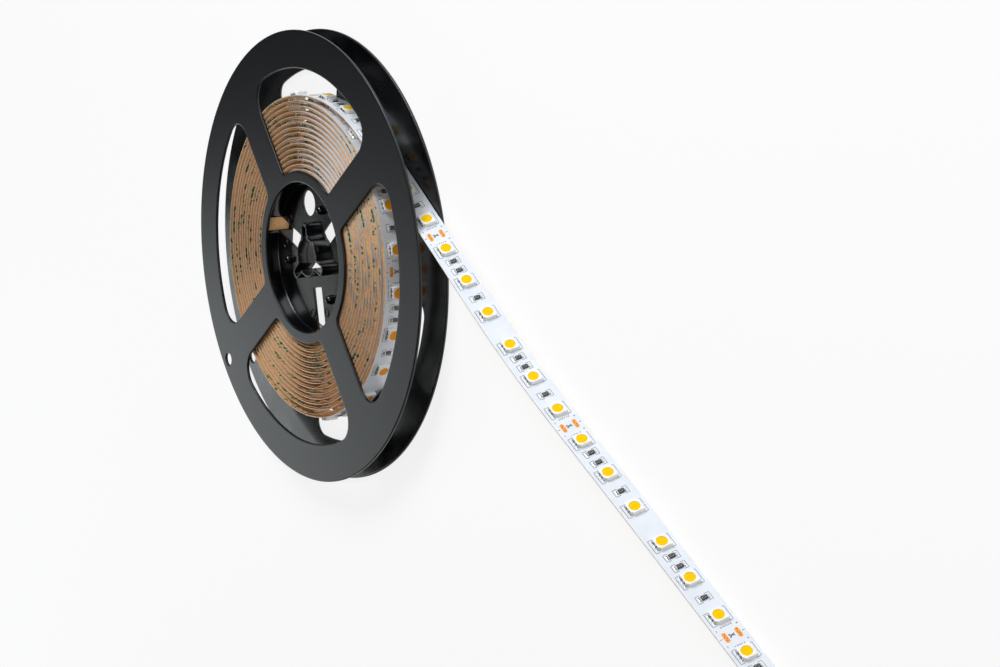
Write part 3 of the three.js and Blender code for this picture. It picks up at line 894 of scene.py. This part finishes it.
def chip_parts(count, phosphor):
    """Square chip: rings of count points rise from its foot over a fine bevel to the round well,
    and its phosphor domes a little. Three leads stand on each long side, and between each two a
    dark block stands for the shade in the gap: painted shade."""
    half = CHIP_SIZE / 2
    top = CHIP_GAP + CHIP_HEIGHT
    unit = chip_outline(1, 0, count)
    unit /= np.linalg.norm(unit, axis=1, keepdims=True)
    insets = (0, 0, CHIP_BEVEL / 3, CHIP_BEVEL)
    body = rings(
        [chip_outline(half - inset, CHIP_CORNER, count) for inset in insets]
        + [unit * WELL_RIM, unit * WELL_RADIUS],
        (CHIP_GAP, top - CHIP_BEVEL, top - CHIP_BEVEL / 3, top, top, top - WELL_DEPTH))
    lens = rings([unit * WELL_RADIUS, unit * 1.3, unit * 0.6, unit * 0.02],
                 (top - WELL_DEPTH, top - 0.08, top - 0.06, top - 0.055))
    body_points, body_faces = loft(body, caps=False)
    body_faces.append(list(range(count))[::-1])
    lens_points, lens_faces = loft(lens, caps=False)
    lens_faces.append(list(range(3 * count, 4 * count)))
    parts = [(body_points, body_faces, CHIP_WHITE, False), (lens_points, lens_faces, phosphor, True)]
    reach = LEAD_GAP_SHADE_WIDE / 2
    for side in (-1, 1):
        near, far = sorted((side * (half - 0.2), side * (half + 0.03)))
        for place in (-LEAD_PITCH, 0, LEAD_PITCH):
            parts.append(terminal(place, side * half, side, LEAD_WIDE, LEAD_HIGH))
        # Dark blocks between the leads: painted shade
        for place in (-LEAD_PITCH / 2, LEAD_PITCH / 2):
            vertices, faces = block((place - reach, near, CHIP_GAP),
                                    (place + reach, far, CHIP_GAP + LEAD_GAP_SHADE_HIGH))
            parts.append((vertices, faces, LEAD_GAP_SHADE, False))
    return parts


def terminal(along, across, side, width, height):
    """Solder fillet: a hollow curve, h (1 - v)^2 high, from a lead's top down to the pad, extruded
    along the tape. It is set a little into the body that it stands against."""
    foot, buried = 0.04, 0.1
    share = np.linspace(0, 1, 6)
    out = across + side * SOLDER_REACH * share
    high = height * (1 - share) ** 2 + foot
    back = across - side * buried
    profile = np.concatenate([np.stack([out, high], axis=-1),
                              [(across + side * SOLDER_REACH, 0), (back, 0), (back, height + foot)]])
    ends = np.array([along - width / 2, along + width / 2])
    points = spread(ends[:, None], profile[:, 0], profile[:, 1])
    vertices, faces = loft(points)
    return vertices, faces if side < 0 else flipped(faces), SOLDER, False


def resistor_parts():
    """Chip resistor: glazed middle between tinned ends that wrap the block and stand a little
    proud of it, with a plain frame stamped on the glaze."""
    parts = []
    half = RESISTOR_LONG / 2
    cap = half - RESISTOR_CAP
    lap = 0.03
    glaze_rise = RESISTOR_HIGH - RESISTOR_CAP_RISE
    for low, high, rise, material in ((-cap - lap, cap + lap, glaze_rise, GLAZE),
                                      (-half, -cap, RESISTOR_HIGH, SOLDER),
                                      (cap, half, RESISTOR_HIGH, SOLDER)):
        outline = square_ring(RESISTOR_WIDE / 2, 0.12, 16) * (1, (high - low) / RESISTOR_WIDE)
        middle = (0, (low + high) / 2)
        side, top = outline + middle, outline * 0.94 + middle
        vertices, faces = loft(rings([side, side, top], np.array([0, rise - 0.06, rise]) + CHIP_GAP))
        parts.append((vertices, faces, material, False))
    for side in (-1, 1):
        parts.append(terminal(0, side * half, side, RESISTOR_WIDE - 0.2, 0.4))
    corners = [(-0.38, -0.62), (0.38, -0.62), (0.38, 0.62), (-0.38, 0.62), (-0.38, -0.62)]
    vertices, faces = stroke(corners, 0.2, CHIP_GAP + glaze_rise)
    parts.append((vertices, faces, STAMP, False))
    return parts


def placed(parts, from_end):
    """Parts drawn about their own middle, carried onto the tape. Their own first axis runs towards
    the roll, as the distance from the free end grows."""
    return [(on_tape(np.asarray(points) + (from_end, 0, 0)), faces, material, smooth)
            for points, faces, material, smooth in parts]


def free_end_parts():
    """The chips and resistors that are nodes of their own, numbered from the free end."""
    chip = chip_parts(32, PHOSPHOR)
    resistor = resistor_parts()
    for cut in range(FREE_CUTS):
        chips, resistors = cut_layout(cut)
        first = cut * CHIPS_PER_CUT + 1
        for number, from_end in enumerate(chips[::-1], first):
            piece(f"chip_{number:02d}", placed(chip, from_end),
                  [f"led_chip_{number:02d}"])
        for number, from_end in enumerate(resistors[::-1], first):
            piece(f"chip_resistor_{number:02d}", placed(resistor, from_end),
                  [f"resistor_{number:02d}"])


def merged(parts_list):
    """Parts of one material and shading joined into one, so that a piece has few of them."""
    groups = {}
    for points, faces, material, smooth in parts_list:
        groups.setdefault((material, smooth), []).append((points, faces))
    joined = []
    for (material, smooth), members in groups.items():
        count = 0
        all_faces = []
        for points, faces in members:
            all_faces.extend([[corner + count for corner in face] for face in faces])
            count += len(points)
        joined.append((np.concatenate([m[0] for m in members]), all_faces, material, smooth))
    return joined


def wound_parts():
    """All chips and resistors on the roll, coarser further in, where little of them shows."""
    chips, resistors = [], []
    inner_end = PATH_S[-1] - CHIP_SIZE
    # The wound chips take the phosphor's darker orange copy: painted shade
    fine_chip = chip_parts(32, PHOSPHOR_SHADED)
    plain_chip = chip_parts(16, PHOSPHOR_SHADED)
    resistor = resistor_parts()
    for cut in range(FREE_CUTS, int((inner_end - SPLICE) / CUT_LENGTH)):
        chip_places, resistor_places = cut_layout(cut)
        for from_end in chip_places:
            chips += placed(fine_chip if cut < SHOWN_CUTS else plain_chip, from_end)
        for from_end in resistor_places:
            resistors += placed(resistor, from_end)
    piece("wound_chips", merged(chips))
    piece("wound_resistors", merged(resistors))


# Print and plating, in tape coordinates

def stroke(points, width, surface=0.0):
    """A line of ink: the polyline widened to both sides, as a thin closed bar set a little into
    the surface below."""
    top, bottom = surface + 0.012, surface - 0.02
    points = np.asarray(points, dtype=float)
    legs = [np.linspace(a, b, 4, endpoint=False) for a, b in zip(points[:-1], points[1:])]
    dense = np.concatenate(legs + [points[-1:]])
    along = np.gradient(dense, axis=0)
    along /= np.linalg.norm(along, axis=1, keepdims=True)
    side = np.stack([-along[:, 1], along[:, 0]], axis=-1) * width / 2
    flat = np.stack([dense + side, dense + side, dense - side, dense - side], axis=1)[:, ::-1]
    return loft(spread(flat[..., 0], flat[..., 1], np.array([top, bottom, bottom, top])))


def ink(points, width=0.16):
    """A printed line on the board."""
    vertices, faces = stroke(points, width)
    return vertices, faces, INK, False


def bracket(reach, inner, outer):
    """Two square brackets that face each other across the tape."""
    return [ink([(-reach, side * inner), (-reach, side * outer), (reach, side * outer),
                 (reach, side * inner)]) for side in (-1, 1)]


def pad(centre):
    """Stadium-shaped pad: a bar in short stations along the tape, so that it follows the tape's
    bend. Its half width at a station is that of a half circle near each end."""
    top, bottom = 0.05, -0.05
    reach = (PAD_LONG - PAD_WIDE) / 2
    radius = PAD_WIDE / 2
    bearing = np.linspace(0, np.pi / 2, 8)
    end = reach + radius * np.sin(bearing)
    station = np.concatenate([-end[::-1], np.linspace(-reach, reach, 7)[1:-1], end])
    beyond = np.maximum(np.abs(station) - reach, 0)
    half = np.maximum(np.sqrt(np.maximum(radius ** 2 - beyond ** 2, 0)), 0.02)
    across = np.stack([half, half, -half, -half], axis=1)[:, ::-1] + centre
    return loft(spread(station[:, None], across, np.array([top, bottom, bottom, top])))


def copper_pads():
    """Two rounded pads over the cut line, each with four small dimples of flux."""
    parts = []
    for centre in (-PAD_DISTANCE, PAD_DISTANCE):
        vertices, faces = pad(centre)
        parts.append((vertices, faces, COPPER, False))
        for place, aside in ((-1.25, 0.1), (-0.5, -0.2), (0.35, 0.2), (1.2, -0.1)):
            dot = circle(0.22, 10, (place, centre + aside))
            vertices, faces = loft(rings([dot, dot], (0.03, 0.075)))
            parts.append((vertices, faces, DIMPLE, False))
    return parts


def cut_mark():
    """Ticks at both edges, a small open pair of blades with round grips between the pads, the
    signs of the poles, and broken dashes in place of print."""
    bold = 0.2
    marks = [ink([(0, side * 3.6), (0, side * 4.6)], bold) for side in (-1, 1)]
    for side in (-1, 1):
        grip = circle(0.26, 8, (side * 0.45, 0.8))
        marks.append(ink([(side * 0.45, -0.9), (-side * 0.25, 0.55)], 0.34))
        marks.append(ink(np.concatenate([grip, grip[:1]]), 0.22))
    for place in (-3.3, 3.3):
        marks.append(ink([(place - 0.3, -3.7), (place + 0.3, -3.7)], bold))
        marks.append(ink([(place, -4.0), (place, -3.4)], bold))
        marks.append(ink([(place - 0.3, 3.7), (place + 0.3, 3.7)], bold))
    for along, dashes in ((4.0, (-2.0, -1.35, -0.5, 0.3, 0.95, 1.6)),
                          (-4.2, (-1.8, -0.9, -0.2, 0.6, 1.5))):
        for count, across in enumerate(dashes):
            reach = (0.35, 0.2, 0.3)[count % 3]
            marks.append(ink([(along - reach, across), (along + reach, across + 0.1)], bold))
            marks.append(ink([(along, across), (along + 0.05, across + 0.35)]))
    return marks


def board_print():
    """All ink and bare copper on the free end and on the turns that show."""
    marks = []
    chip_bracket = bracket(2.85, 2.2, 3.75)
    resistor_bracket = bracket(1.5, 0.9, 2.6)
    cut_line = copper_pads() + cut_mark()
    for cut in range(SHOWN_CUTS):
        chips, resistors = cut_layout(cut)
        for from_end in chips:
            marks += placed(chip_bracket, from_end)
        for from_end in resistors:
            marks += placed(resistor_bracket, from_end)
        if cut > 0:
            marks += placed(cut_line, cut * CUT_LENGTH + (SPLICE if cut > FREE_CUTS else 0))
    piece("board_print", merged(marks))


# Scene

def build_object():
    """Every piece of the reel and its tape."""
    front_half()
    rear_half()
    liner()
    white_board()
    free_end_parts()
    wound_parts()
    board_print()


# Soft lights: their place in metres about the reel's axis, what they face, size, power and colour.
# The key stands behind the reel. The sheen, low on the far side, shows in the flange. The fill, low
# on the tape's side, reaches in between the flanges. The front one, by the camera, is weak and warm.
LIGHTS = {
    "key": ((-0.532, 0.922, 0.746), (0, 0, 0), 0.6, 13.0, (0.97, 0.985, 1.0)),
    "fill": ((0.25, 1.1, 0.14), (0.1, 0, 0), 0.5, 0.4, (0.97, 0.985, 1.0)),
    "front": ((0.70, 0.59, 0.77), (0, 0, 0), 0.5, 2.3, (1.0, 0.95, 0.88)),
    "sheen": ((-0.777, -0.994, 0.315), (0, 0, 0), 0.6, 2.5, (0.95, 1.0, 1.0)),
}
FLOOR_REACH = 6.0
FLOOR_DROP = 0.0002


def area_light(name, place, target, size, power, colour):
    """A square soft light that faces a target."""
    light = bpy.data.lights.new(name, "AREA")
    light.size = size
    light.energy = power
    light.color = colour
    lamp = bpy.data.objects.new(name, light)
    lamp.location = Vector(place) + Vector((REEL_X, 0, 0))
    lamp.rotation_euler = (Vector(target) - Vector(place)).to_track_quat("-Z", "Y").to_euler()
    bpy.context.scene.collection.objects.link(lamp)


def build_stage():
    """A pale floor that glows, as a lit product table does, the lights and a nearly dark room."""
    material = new_material("pale_table", {
        "Roughness": 0.7, "Base Color": (0.2, 0.2, 0.2, 1),
        "Emission Color": (1, 1, 1, 1), "Emission Strength": 0.83,
    })[0]
    mesh = bpy.data.meshes.new("floor")
    corners = [(x * FLOOR_REACH, y * FLOOR_REACH, 0) for x, y in ((-1, -1), (1, -1), (1, 1), (-1, 1))]
    mesh.from_pydata(corners, [], [(0, 1, 2, 3)])
    mesh.materials.append(material)
    floor = bpy.data.objects.new("floor", mesh)
    bpy.context.scene.collection.objects.link(floor)
    floor.location.z = -FLOOR_DROP

    world = bpy.data.worlds.new("studio")
    bpy.context.scene.world = world
    world.use_nodes = True
    background = world.node_tree.nodes["Background"]
    background.inputs["Color"].default_value = (0.9, 0.95, 1, 1)
    background.inputs["Strength"].default_value = 0.03
    for name, settings in LIGHTS.items():
        area_light(name, *settings)


# The camera stands where the photograph was taken from, about the reel's axis at floor level
CAMERA_PLACE = (0.5997, 0.5008, 0.4309)
CAMERA_FORWARD = (-0.61536, -0.56930, -0.54519)
CAMERA_UP = (-0.62481, 0.77396, -0.10296)
CAMERA_LENS = 79.8
CAMERA_SENSOR = 36.0


def build_camera():
    """The photograph's camera, its roll included."""
    data = bpy.data.cameras.new("camera")
    data.lens = CAMERA_LENS
    data.sensor_width = CAMERA_SENSOR
    camera = bpy.data.objects.new("camera", data)
    forward = Vector(CAMERA_FORWARD).normalized()
    right = forward.cross(Vector(CAMERA_UP)).normalized()
    up = right.cross(forward)
    turned = Matrix((right, up, -forward)).transposed().to_4x4()
    camera.matrix_world = Matrix.Translation(Vector(CAMERA_PLACE) + Vector((REEL_X, 0, 0))) @ turned
    bpy.context.scene.collection.objects.link(camera)
    bpy.context.scene.camera = camera


build_camera()
build_stage()
build_object()
bpy.context.scene.view_settings.view_transform = "Standard"
